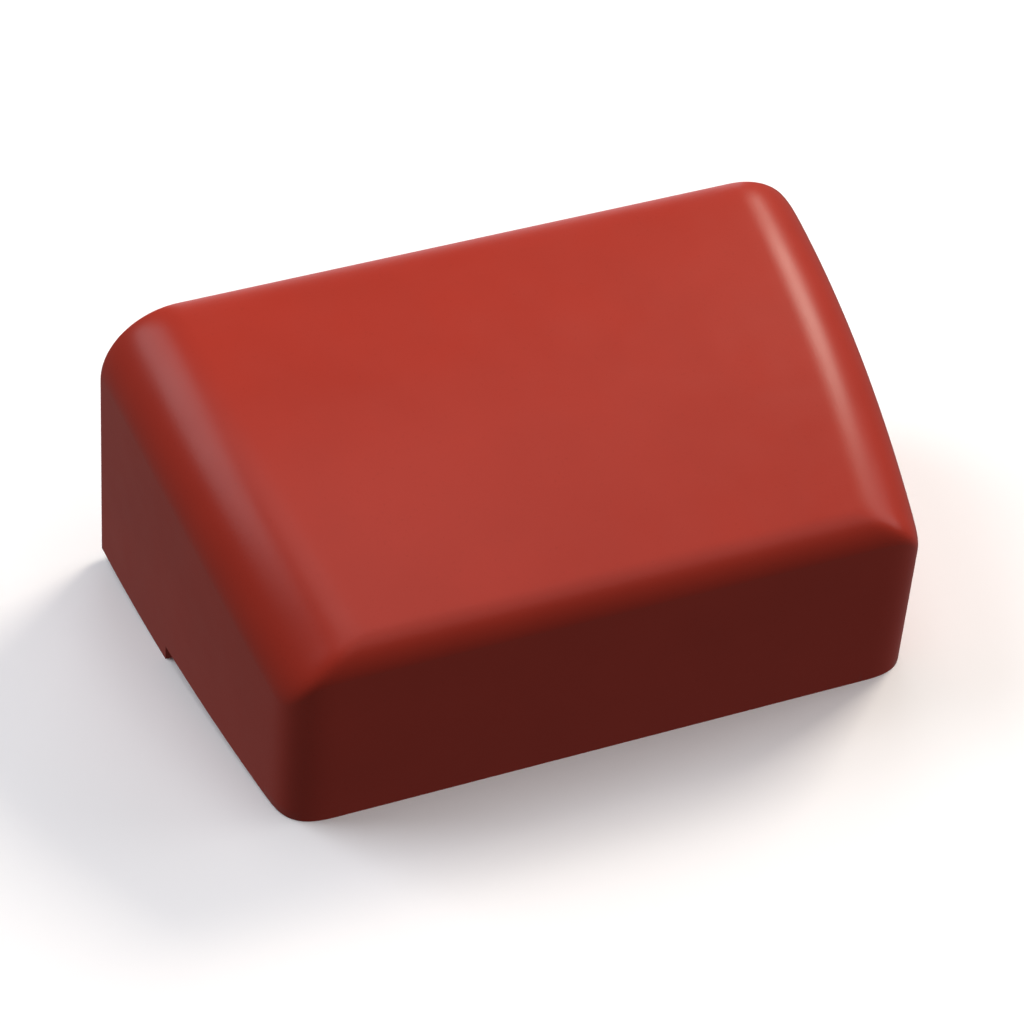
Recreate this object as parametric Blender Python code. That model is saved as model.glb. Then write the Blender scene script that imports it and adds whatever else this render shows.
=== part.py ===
"""Detailing clay bar: half of a pillow-shaped moulded bar, cut flat at its middle.

Frame: metres, +Z up. X runs along the bar's wide side and is its mirror axis. -Y is the moulded front,
+Y is the flat cut face. Z = 0 is the table that the bar lies on, and the origin is under the middle of
the bar. The bar is shaped in its own axes first, then leaned back into the pose that it rests in: its
front lower edge and the front edge of its foot both touch the table.
"""

from math import atan2, cos, pi, sin

import bmesh
import bpy
from mathutils import Matrix

# Plan view
FRONT_WIDTH = 0.0619
CUT_WIDTH = 0.0707
DEPTH = 0.0410
END_BULGE = 0.00066        # how far each end bows out past a straight line, at half depth

# Side view, heights above the lower edge of the front
FRONT_HEIGHT = 0.0202
CUT_HEIGHT = 0.0279
FRONT_RISE = 0.342         # slope of the top where it starts, at the front

# Rounded edges
END_FILLET = 0.0075
FRONT_FILLET = 0.0026
CORNER_WIDTH = 0.0052      # how far each upright front corner reaches along the front
CORNER_DEPTH = 0.0048      # and along the end
CORNER_POWER = 3.4         # 2 is a quarter of an ellipse, and more is a tighter corner
CORNER_START = 0.3         # share of the corner's size where the fillet leaves the top

# Underside: the foot stands lower than the rest
FOOT_FROM_FRONT = 0.0251
FOOT_DROP = 0.0017

# Facets
FILLET_STEPS = 10
CORNER_STEPS = 8
END_STEPS = 12

CLAY_COLOUR = (0.42, 0.052, 0.038, 1.0)
CLAY_ROUGHNESS = 0.45
CUTTER_MARGIN = 0.005

REST_LEAN = atan2(FOOT_DROP, FOOT_FROM_FRONT)


def clear_scene():
    """Remove the objects that the file opened with."""
    for item in list(bpy.data.objects):
        bpy.data.objects.remove(item, do_unlink=True)


def half_width(y):
    """Half of the bar's width at a depth y behind its front."""
    along = y / DEPTH
    straight = FRONT_WIDTH / 2 + (CUT_WIDTH - FRONT_WIDTH) / 2 * along
    return straight + 4 * END_BULGE * along * (1 - along)


def top_height(y):
    """Height of the crowned top at a depth y: steep at the front, nearly level at the cut."""
    crown = (FRONT_RISE * DEPTH - (CUT_HEIGHT - FRONT_HEIGHT)) / DEPTH**2
    return FRONT_HEIGHT + FRONT_RISE * y - crown * y**2


def spread(start, end, steps):
    """Evenly spaced values from start to end, both included."""
    return [start + (end - start) * i / steps for i in range(steps + 1)]


def fillet_ring(angle):
    """Right half of one ring round the bar, from the cut to the middle of the front.

    angle is 0 where the fillet leaves the top and 90 degrees where it meets the walls.
    """
    reach = sin(angle)
    fall = 1 - cos(angle)
    end_inset = END_FILLET * (1 - reach)
    front_inset = FRONT_FILLET * (1 - reach)
    corner = CORNER_START + (1 - CORNER_START) * reach
    points = []
    for y in spread(DEPTH, front_inset + CORNER_DEPTH * corner, END_STEPS):
        points.append((half_width(y) - end_inset, y, top_height(y) - END_FILLET * fall))
    for turn in spread(0, pi / 2, CORNER_STEPS)[1:]:
        out = cos(turn) ** (2 / CORNER_POWER) if turn < pi / 2 else 0.0
        fore = sin(turn) ** (2 / CORNER_POWER)
        y = front_inset + CORNER_DEPTH * corner * (1 - fore)
        x = half_width(y) - end_inset - CORNER_WIDTH * corner * (1 - out)
        radius = END_FILLET + (FRONT_FILLET - END_FILLET) * sin(turn) ** 2
        points.append((x, y, top_height(y) - radius * fall))
    return points


def floor_ring():
    """Right half of the outline at the level of the foot."""
    return [(x, y, -FOOT_DROP) for x, y, z in fillet_ring(pi / 2)]


def add_ring(mesh, half):
    """Add a ring, mirrored from its right half, as vertices from the left to the right of the cut."""
    left = [mesh.verts.new((-x, y, z)) for x, y, z in half]
    right = [mesh.verts.new(point) for point in reversed(half)]
    return left + right


def bar_blank():
    """The bar's rounded body with a level underside, in its own axes."""
    mesh = bmesh.new()
    halves = [fillet_ring(angle) for angle in spread(0, pi / 2, FILLET_STEPS)]
    rings = [add_ring(mesh, half) for half in halves + [floor_ring()]]
    for upper, lower in zip(rings, rings[1:]):
        for i in range(len(upper) - 1):
            mesh.faces.new((upper[i], upper[i + 1], lower[i + 1], lower[i]))
    top, bottom = rings[0], rings[-1]
    for i in range(len(top) // 2 - 1):
        mesh.faces.new((top[i], top[-1 - i], top[-2 - i], top[i + 1]))
    mesh.faces.new(bottom)
    mesh.faces.new([ring[0] for ring in reversed(rings)] + [ring[-1] for ring in rings])
    bmesh.ops.remove_doubles(mesh, verts=mesh.verts, dist=1e-6)
    bmesh.ops.recalc_face_normals(mesh, faces=mesh.faces)
    data = bpy.data.meshes.new("clay_bar")
    mesh.to_mesh(data)
    mesh.free()
    return data


def relief_cutter():
    """The space under the front part, which leaves the foot standing proud behind it."""
    length = FOOT_FROM_FRONT + CUTTER_MARGIN
    height = FOOT_DROP + CUTTER_MARGIN
    mesh = bmesh.new()
    size = Matrix.Diagonal((CUT_WIDTH + 2 * CUTTER_MARGIN, length, height, 1))
    place = Matrix.Translation((0, FOOT_FROM_FRONT - length / 2, -height / 2))
    bmesh.ops.create_cube(mesh, size=1, matrix=place @ size)
    data = bpy.data.meshes.new("relief_cutter")
    mesh.to_mesh(data)
    mesh.free()
    cutter = bpy.data.objects.new("relief_cutter", data)
    bpy.context.collection.objects.link(cutter)
    cutter.hide_render = True
    cutter.display_type = "WIRE"
    return cutter


def clay_material():
    """Red detailing clay with a satin skin."""
    material = bpy.data.materials.new("red_clay")
    material.use_nodes = True
    shader = material.node_tree.nodes["Principled BSDF"]
    shader.inputs["Base Color"].default_value = CLAY_COLOUR
    shader.inputs["Roughness"].default_value = CLAY_ROUGHNESS
    shader.inputs["Metallic"].default_value = 0.0
    return material


def rest_pose(points):
    """The transform that leans the bar back on its foot and centres it over the origin."""
    lean = Matrix.Rotation(REST_LEAN, 4, "X")
    depths = [(lean @ point).y for point in points]
    return Matrix.Translation((0, -(min(depths) + max(depths)) / 2, 0)) @ lean


def clay_bar():
    """The one piece: the bar of clay, with its underside relieved in front of the foot."""
    data = bar_blank()
    bar = bpy.data.objects.new("clay_bar", data)
    bpy.context.collection.objects.link(bar)
    cutter = relief_cutter()
    relief = bar.modifiers.new("relief", "BOOLEAN")
    relief.operation = "DIFFERENCE"
    relief.solver = "EXACT"
    relief.object = cutter
    data.materials.append(clay_material())
    data.shade_smooth()
    data.set_sharp_from_angle(angle=pi / 6)
    pose = rest_pose([vertex.co for vertex in data.vertices])
    bar.matrix_world = pose
    cutter.matrix_world = pose
    return bar


clear_scene()
clay_bar()
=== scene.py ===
from math import atan2, cos, pi, radians, sin

import bmesh
import bpy
from mathutils import Matrix, Vector


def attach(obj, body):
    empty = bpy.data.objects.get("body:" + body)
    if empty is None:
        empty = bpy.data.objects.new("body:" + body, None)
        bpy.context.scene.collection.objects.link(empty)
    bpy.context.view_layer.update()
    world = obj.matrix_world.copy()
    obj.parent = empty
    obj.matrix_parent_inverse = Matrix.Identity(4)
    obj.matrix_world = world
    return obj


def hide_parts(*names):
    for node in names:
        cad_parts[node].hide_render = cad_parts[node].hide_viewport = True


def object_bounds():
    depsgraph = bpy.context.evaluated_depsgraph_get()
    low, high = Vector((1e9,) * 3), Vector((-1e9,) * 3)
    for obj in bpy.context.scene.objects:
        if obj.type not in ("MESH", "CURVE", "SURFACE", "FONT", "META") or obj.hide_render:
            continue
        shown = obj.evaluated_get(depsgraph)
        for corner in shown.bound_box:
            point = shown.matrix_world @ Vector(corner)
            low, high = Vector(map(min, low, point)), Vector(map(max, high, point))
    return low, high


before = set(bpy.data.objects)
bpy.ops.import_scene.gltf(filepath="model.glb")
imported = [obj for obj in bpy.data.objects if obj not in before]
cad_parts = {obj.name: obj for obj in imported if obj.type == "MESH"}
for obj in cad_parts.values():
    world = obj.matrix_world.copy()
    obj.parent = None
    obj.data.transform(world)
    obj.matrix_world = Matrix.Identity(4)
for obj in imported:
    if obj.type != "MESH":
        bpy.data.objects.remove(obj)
cad_low, cad_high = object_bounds()

# The bar's driving dimensions in its own axes: y runs back from the front, z up from its lower edge.
CUT_WIDTH = cad_high.x - cad_low.x
FRONT_WIDTH = 0.0619
DEPTH = 0.0410
END_BULGE = 0.00066
FRONT_HEIGHT = 0.0202
CUT_HEIGHT = 0.0279
FRONT_RISE = 0.342
END_FILLET = 0.0075
FRONT_FILLET = 0.0026
CORNER_WIDTH = 0.0052
CORNER_DEPTH = 0.0048
CORNER_POWER = 3.4
CORNER_START = 0.3
FOOT_FROM_FRONT = 0.0251
FOOT_DROP = 0.0017
REST_LEAN = atan2(FOOT_DROP, FOOT_FROM_FRONT)

# The blade pulled the clay a little. The crown stands slightly proud and rolls down beside the cut,
# and the cut face is wavy, with waves that slant a little and die out towards the rim.
ROLL_DEPTH = 0.0032
ROLL_DROP = 0.00032
ROLL_RISE = 0.00019
WAVE_HEIGHT = 0.00006
WAVE_LENGTHS = (0.0231, 0.0137, 0.0089)
WAVE_SLANT = 0.3
WAVE_RIM = 0.004

# Small rounding of the lower and cut edges
EDGE_ROUND = 0.00022
EDGE_SEGMENTS = 3
EDGE_ANGLE = radians(40)

# Grid density
FILLET_STEPS = 24
CORNER_STEPS = 24
ROLL_STEPS = 8
FOOT_STEPS = 14
SIDE_STEPS = 24
FRONT_STEPS = 32
WALL_STEPS = 12
MERGE = 1e-6


def half_width(y):
    """Half of the bar's width at a depth y behind its front."""
    along = y / DEPTH
    straight = FRONT_WIDTH / 2 + (CUT_WIDTH - FRONT_WIDTH) / 2 * along
    return straight + 4 * END_BULGE * along * (1 - along)


def top_height(y):
    """Height of the crowned top at a depth y, with the roll beside the cut."""
    crown = (FRONT_RISE * DEPTH - (CUT_HEIGHT + ROLL_RISE - FRONT_HEIGHT)) / DEPTH**2
    roll = max(0.0, (y - DEPTH + ROLL_DEPTH) / ROLL_DEPTH)
    return FRONT_HEIGHT + FRONT_RISE * y - crown * y**2 - ROLL_DROP * roll**3


def spread(start, end, steps):
    """Evenly spaced values from start to end, both included."""
    return [start + (end - start) * i / steps for i in range(steps + 1)]


def side_depths(last):
    """Depths of the points along an end, from the cut to the last one before the front corner."""
    rolled = spread(DEPTH, DEPTH - ROLL_DEPTH, ROLL_STEPS)
    foot = spread(DEPTH - ROLL_DEPTH, FOOT_FROM_FRONT, FOOT_STEPS)
    return rolled + foot[1:] + spread(FOOT_FROM_FRONT, last, SIDE_STEPS)[1:]


def corner_turns():
    """Angles round a front corner, closer together where the corner starts and ends."""
    return [pi / 2 * t * t * (3 - 2 * t) for t in spread(0, 1, CORNER_STEPS)[1:]]


def ring(angle):
    """Right half of a ring, from the cut to mid-front; angle is 0 at the top and pi / 2 at the walls."""
    reach = sin(angle)
    fall = 1 - cos(angle)
    end_inset = END_FILLET * (1 - reach)
    front_inset = FRONT_FILLET * (1 - reach)
    corner = CORNER_START + (1 - CORNER_START) * reach
    points = []
    for y in side_depths(front_inset + CORNER_DEPTH * corner):
        points.append(Vector((half_width(y) - end_inset, y, top_height(y) - END_FILLET * fall)))
    for turn in corner_turns():
        out = max(cos(turn), 0.0) ** (2 / CORNER_POWER) if turn < pi / 2 else 0.0
        fore = sin(turn) ** (2 / CORNER_POWER)
        y = front_inset + CORNER_DEPTH * corner * (1 - fore)
        x = half_width(y) - end_inset - CORNER_WIDTH * corner * (1 - out)
        radius = END_FILLET + (FRONT_FILLET - END_FILLET) * sin(turn) ** 2
        points.append(Vector((x, y, top_height(y) - radius * fall)))
    front = points[-1]
    for part in spread(1, 0, FRONT_STEPS)[1:]:
        points.append(Vector((front.x * part, front.y, front.z)))
    return points


def mirrored(point):
    """The same point on the other end of the bar."""
    return Vector((-point.x, point.y, point.z))


def whole(half):
    """A ring's points from the left of the cut round the front to the right of the cut."""
    return [mirrored(point) for point in half] + half[-2::-1]


def across(edge):
    """Rows of points that join each point of the right edge to its mirror image on the left."""
    parts = spread(-1, 1, 2 * FRONT_STEPS)
    return [[Vector((point.x * part, point.y, point.z)) for part in parts] for point in edge]


def add_grid(mesh, rows, material=0):
    """Add a sheet of quads through rows of points."""
    verts = [[mesh.verts.new(point) for point in row] for row in rows]
    for upper, lower in zip(verts, verts[1:]):
        for i in range(len(upper) - 1):
            face = mesh.faces.new((upper[i], upper[i + 1], lower[i + 1], lower[i]))
            face.material_index = material


def wavy(rows):
    """The cut face's rows with shallow waves that die out towards its rim."""
    low, high = rows[-1][0].z, rows[0][0].z
    for row in rows:
        for point in row:
            rim = min(abs(row[0].x) - abs(point.x), point.z - low, high - point.z)
            inside = min(1.0, rim / WAVE_RIM)
            wave = sum(sin(2 * pi * (point.x + WAVE_SLANT * point.z) / length) for length in WAVE_LENGTHS)
            point.y += WAVE_HEIGHT * inside * (wave / len(WAVE_LENGTHS) - 1)
    return rows


def bar_mesh():
    """The bar's whole skin, in its own axes: material 0 is moulded and 1 is cut."""
    mesh = bmesh.new()
    rings = [ring(angle) for angle in spread(0, pi / 2, FILLET_STEPS)]
    walls = []
    for share in spread(1, 0, WALL_STEPS)[1:]:
        walls.append([Vector((p.x, p.y, p.z * share)) for p in rings[-1]])
    add_grid(mesh, [whole(half) for half in rings + walls])

    depths = len(side_depths(0))
    add_grid(mesh, across(rings[0][:depths + CORNER_STEPS]))

    level = walls[-1]
    drop = Vector((0, 0, -FOOT_DROP))
    foot = [p for p in level if p.y >= FOOT_FROM_FRONT - MERGE]
    sole = [p + drop for p in foot]
    add_grid(mesh, [foot, sole])
    add_grid(mesh, [[mirrored(p) for p in foot], [mirrored(p) for p in sole]])
    add_grid(mesh, across([foot[-1], sole[-1]]))
    add_grid(mesh, across(sole))
    add_grid(mesh, across(level[len(foot) - 1:depths + CORNER_STEPS]))

    rim = [half[0] for half in rings + walls] + [sole[0]]
    add_grid(mesh, wavy(across(rim)), material=1)

    bmesh.ops.remove_doubles(mesh, verts=mesh.verts, dist=MERGE)
    bmesh.ops.recalc_face_normals(mesh, faces=mesh.faces)
    data = bpy.data.meshes.new("clay_skin")
    mesh.to_mesh(data)
    mesh.free()
    return data


def rest_pose(points):
    """The transform that leans the bar back on its foot and centres it over the origin."""
    lean = Matrix.Rotation(REST_LEAN, 4, "X")
    depths = [(lean @ point).y for point in points]
    return Matrix.Translation((0, -(min(depths) + max(depths)) / 2, 0)) @ lean


class Shader:
    """A Principled material and the few node recipes that the clay is made of."""

    def __init__(self, name):
        self.material = bpy.data.materials.new(name)
        self.material.use_nodes = True
        self.tree = self.material.node_tree
        self.surface = self.tree.nodes["Principled BSDF"]
        self.position = self.tree.nodes.new("ShaderNodeTexCoord").outputs["Object"]

    def feed(self, socket, value):
        """Link an output to a socket, or set the socket to a number."""
        if isinstance(value, bpy.types.NodeSocket):
            self.tree.links.new(value, socket)
        else:
            socket.default_value = value

    def noise(self, size, detail=2.0, stretch=(1, 1, 1)):
        """Noise from 0 to 1 whose blobs are about size metres across, times stretch along each axis."""
        scaled = self.tree.nodes.new("ShaderNodeMapping")
        self.feed(scaled.inputs["Vector"], self.position)
        self.feed(scaled.inputs["Scale"], [1 / s for s in stretch])
        made = self.tree.nodes.new("ShaderNodeTexNoise")
        self.feed(made.inputs["Vector"], scaled.outputs["Vector"])
        self.feed(made.inputs["Scale"], 1 / size)
        self.feed(made.inputs["Detail"], detail)
        return made.outputs["Fac"]

    def between(self, value, start, end, low, high):
        """Map the stretch from start to end of a value onto low to high."""
        made = self.tree.nodes.new("ShaderNodeMapRange")
        self.feed(made.inputs["Value"], value)
        self.feed(made.inputs["From Min"], start)
        self.feed(made.inputs["From Max"], end)
        self.feed(made.inputs["To Min"], low)
        self.feed(made.inputs["To Max"], high)
        return made.outputs["Result"]

    def blend(self, factor, first, second):
        """Mix two colours. The node's colour sockets are 6 and 7 going in and 2 coming out."""
        made = self.tree.nodes.new("ShaderNodeMix")
        made.data_type = "RGBA"
        self.feed(made.inputs["Factor"], factor)
        self.feed(made.inputs[6], first)
        self.feed(made.inputs[7], second)
        return made.outputs[2]

    def bump(self, height, depth, strength, under=None):
        """Bump of a given depth in metres, on top of another bump."""
        made = self.tree.nodes.new("ShaderNodeBump")
        self.feed(made.inputs["Height"], height)
        self.feed(made.inputs["Distance"], depth)
        self.feed(made.inputs["Strength"], strength)
        if under:
            self.feed(made.inputs["Normal"], under)
        return made.outputs["Normal"]


# Clay colours
CLAY_DARK = (0.352, 0.0264, 0.0136, 1)
CLAY_LIGHT = (0.368, 0.0280, 0.0146, 1)
GRIT_DARK = (0.29, 0.0205, 0.0105, 1)
GLOSS = 0.21

# Sizes across of what varies over the moulded skin, and depths of its relief
CLOUD_SIZE = 0.009
GRIT_SIZE = 0.00030
SHEEN_SIZE = 0.004
DENT_SIZE, DENT_DEPTH = 0.012, 0.00004
GRAIN_SIZE, GRAIN_DEPTH = 0.00022, 0.00001

# The same for the cut face; the drag lines run down it
CUT_CLOUD_SIZE = 0.006
DRAG_SIZE, DRAG_DEPTH = 0.0006, 0.00005
DRAG_STRETCH = (1, 1, 40)
CUT_GRAIN_SIZE, CUT_GRAIN_DEPTH = 0.0003, 0.00002


def cloudy(clay, size):
    """Soft clouds between the two clay colours."""
    clouds = clay.between(clay.noise(size, 3.0), 0.35, 0.65, 0.0, 1.0)
    return clay.blend(clouds, CLAY_DARK, CLAY_LIGHT)


def moulded_clay():
    """Satin skin from the mould: soft colour clouds, faint fine grit and a fine grain."""
    clay = Shader("moulded_clay")
    grit = clay.between(clay.noise(GRIT_SIZE, 1.0), 0.66, 0.76, 0.0, 0.35)
    colour = clay.blend(grit, cloudy(clay, CLOUD_SIZE), GRIT_DARK)
    clay.feed(clay.surface.inputs["Base Color"], colour)
    sheen = clay.between(clay.noise(SHEEN_SIZE, 4.0), 0.3, 0.7, 0.30, 0.34)
    clay.feed(clay.surface.inputs["Roughness"], sheen)
    clay.surface.inputs["Specular IOR Level"].default_value = GLOSS
    dents = clay.bump(clay.noise(DENT_SIZE, 1.0), DENT_DEPTH, 0.2)
    grain = clay.bump(clay.noise(GRAIN_SIZE, 2.0), GRAIN_DEPTH, 0.5, under=dents)
    clay.feed(clay.surface.inputs["Normal"], grain)
    return clay.material


def cut_clay():
    """The same clay where a blade went through it: duller, with fine drag lines down the face."""
    clay = Shader("cut_clay")
    drag = clay.noise(DRAG_SIZE, 3.0, stretch=DRAG_STRETCH)
    streaks = clay.between(drag, 0.52, 0.72, 0.0, 0.3)
    colour = clay.blend(streaks, cloudy(clay, CUT_CLOUD_SIZE), GRIT_DARK)
    clay.feed(clay.surface.inputs["Base Color"], colour)
    clay.feed(clay.surface.inputs["Roughness"], clay.between(drag, 0.3, 0.7, 0.48, 0.62))
    clay.surface.inputs["Specular IOR Level"].default_value = GLOSS
    lines = clay.bump(drag, DRAG_DEPTH, 0.6)
    grain = clay.bump(clay.noise(CUT_GRAIN_SIZE, 2.0), CUT_GRAIN_DEPTH, 0.6, under=lines)
    clay.feed(clay.surface.inputs["Normal"], grain)
    return clay.material


def clay_skin():
    """The visible bar, in place of the plain CAD solid."""
    data = bar_mesh()
    data.transform(rest_pose([vertex.co for vertex in data.vertices]))
    bar = bpy.data.objects.new("clay_skin", data)
    bpy.context.collection.objects.link(bar)
    data.materials.append(moulded_clay())
    data.materials.append(cut_clay())
    data.shade_smooth()
    rounding = bar.modifiers.new("edge_rounding", "BEVEL")
    rounding.width = EDGE_ROUND
    rounding.segments = EDGE_SEGMENTS
    rounding.limit_method = "ANGLE"
    rounding.angle_limit = EDGE_ANGLE
    bar.modifiers.new("weighted_normals", "WEIGHTED_NORMAL")
    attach(bar, "root")
    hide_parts("clay_bar")


# Stage
FLOOR_HALF = 1.5
FLOOR_COLOUR = (0.91, 0.9, 0.905, 1)
ROOM_COLOUR = (0.88, 1.0, 1.0, 1)
ROOM_LIGHT = 0.17

# Camera: how far it stands to the bar's left of straight ahead, how high, its roll, and where it looks
VIEW_TURN = radians(23.95)
VIEW_RISE = radians(40.77)
VIEW_ROLL = radians(2.76)
VIEW_TARGET = Vector((0.00005, 0.00409, 0.00915))
VIEW_DISTANCE = 0.4006
LENS = 148.6
SENSOR = 36

# Soft boxes: name, azimuth (0 is behind the bar and 90 to its right), elevation, size, power, colour
BOX_DISTANCE = 1.0
SOFT_BOXES = (
    ("key_right", 62, 41, 0.32, 5.4, (1.0, 0.90, 0.77)),
    ("wide_right", 98, 32, 0.6, 2.7, (1.0, 0.95, 0.94)),
    ("fill_left", -54, 45, 0.6, 5.0, (0.91, 0.94, 1.0)),
    ("overhead", 0, 88, 0.6, 2.5, (1.0, 0.95, 0.96)),
    ("front_high", 150, 56, 0.6, 1.3, (1.0, 0.92, 0.91)),
    ("low_back", 20, 18, 0.4, 1.4, (0.88, 0.94, 1.0)),
)


def floor():
    """A plain pale table top that takes shadows but doesn't light the bar or mirror in it."""
    data = bpy.data.meshes.new("floor")
    mesh = bmesh.new()
    bmesh.ops.create_grid(mesh, x_segments=1, y_segments=1, size=FLOOR_HALF)
    mesh.to_mesh(data)
    mesh.free()
    table = bpy.data.objects.new("floor", data)
    bpy.context.collection.objects.link(table)
    table.visible_diffuse = False
    table.visible_glossy = False
    material = bpy.data.materials.new("pale_floor")
    material.use_nodes = True
    shader = material.node_tree.nodes["Principled BSDF"]
    shader.inputs["Base Color"].default_value = FLOOR_COLOUR
    shader.inputs["Roughness"].default_value = 0.7
    shader.inputs["Specular IOR Level"].default_value = 0.2
    data.materials.append(material)


def camera():
    """Looks down on the bar from its left front, with the long lens of a product shot."""
    side = -sin(VIEW_TURN) * cos(VIEW_RISE)
    front = -cos(VIEW_TURN) * cos(VIEW_RISE)
    back = Vector((side, front, sin(VIEW_RISE)))
    right = Vector((cos(VIEW_TURN), -sin(VIEW_TURN), 0))
    up = back.cross(right)
    rolled_right = cos(VIEW_ROLL) * right + sin(VIEW_ROLL) * up
    rolled_up = cos(VIEW_ROLL) * up - sin(VIEW_ROLL) * right
    data = bpy.data.cameras.new("camera")
    data.lens = LENS
    data.sensor_width = SENSOR
    data.clip_start = 0.01
    view = bpy.data.objects.new("camera", data)
    bpy.context.collection.objects.link(view)
    place = Matrix((rolled_right, rolled_up, back)).transposed().to_4x4()
    place.translation = VIEW_TARGET + back * VIEW_DISTANCE
    view.matrix_world = place
    bpy.context.scene.camera = view


def softbox(name, azimuth, elevation, size, power, colour):
    """A square area light aimed at the bar."""
    turn, rise = radians(azimuth), radians(elevation)
    out = Vector((sin(turn) * cos(rise), cos(turn) * cos(rise), sin(rise)))
    data = bpy.data.lights.new(name, "AREA")
    data.size = size
    data.energy = power
    data.color = colour
    lamp = bpy.data.objects.new(name, data)
    bpy.context.collection.objects.link(lamp)
    lamp.location = out * BOX_DISTANCE
    lamp.rotation_euler = out.to_track_quat("Z", "Y").to_euler()


def studio():
    """Soft boxes, slightly warm from the right and cool from the left, in a dim pale room."""
    for box in SOFT_BOXES:
        softbox(*box)
    world = bpy.data.worlds.new("room")
    world.use_nodes = True
    bpy.context.scene.world = world
    world.node_tree.nodes["Background"].inputs["Color"].default_value = ROOM_COLOUR
    world.node_tree.nodes["Background"].inputs["Strength"].default_value = ROOM_LIGHT
    bpy.context.scene.view_settings.view_transform = "Standard"


clay_skin()
floor()
camera()
studio()
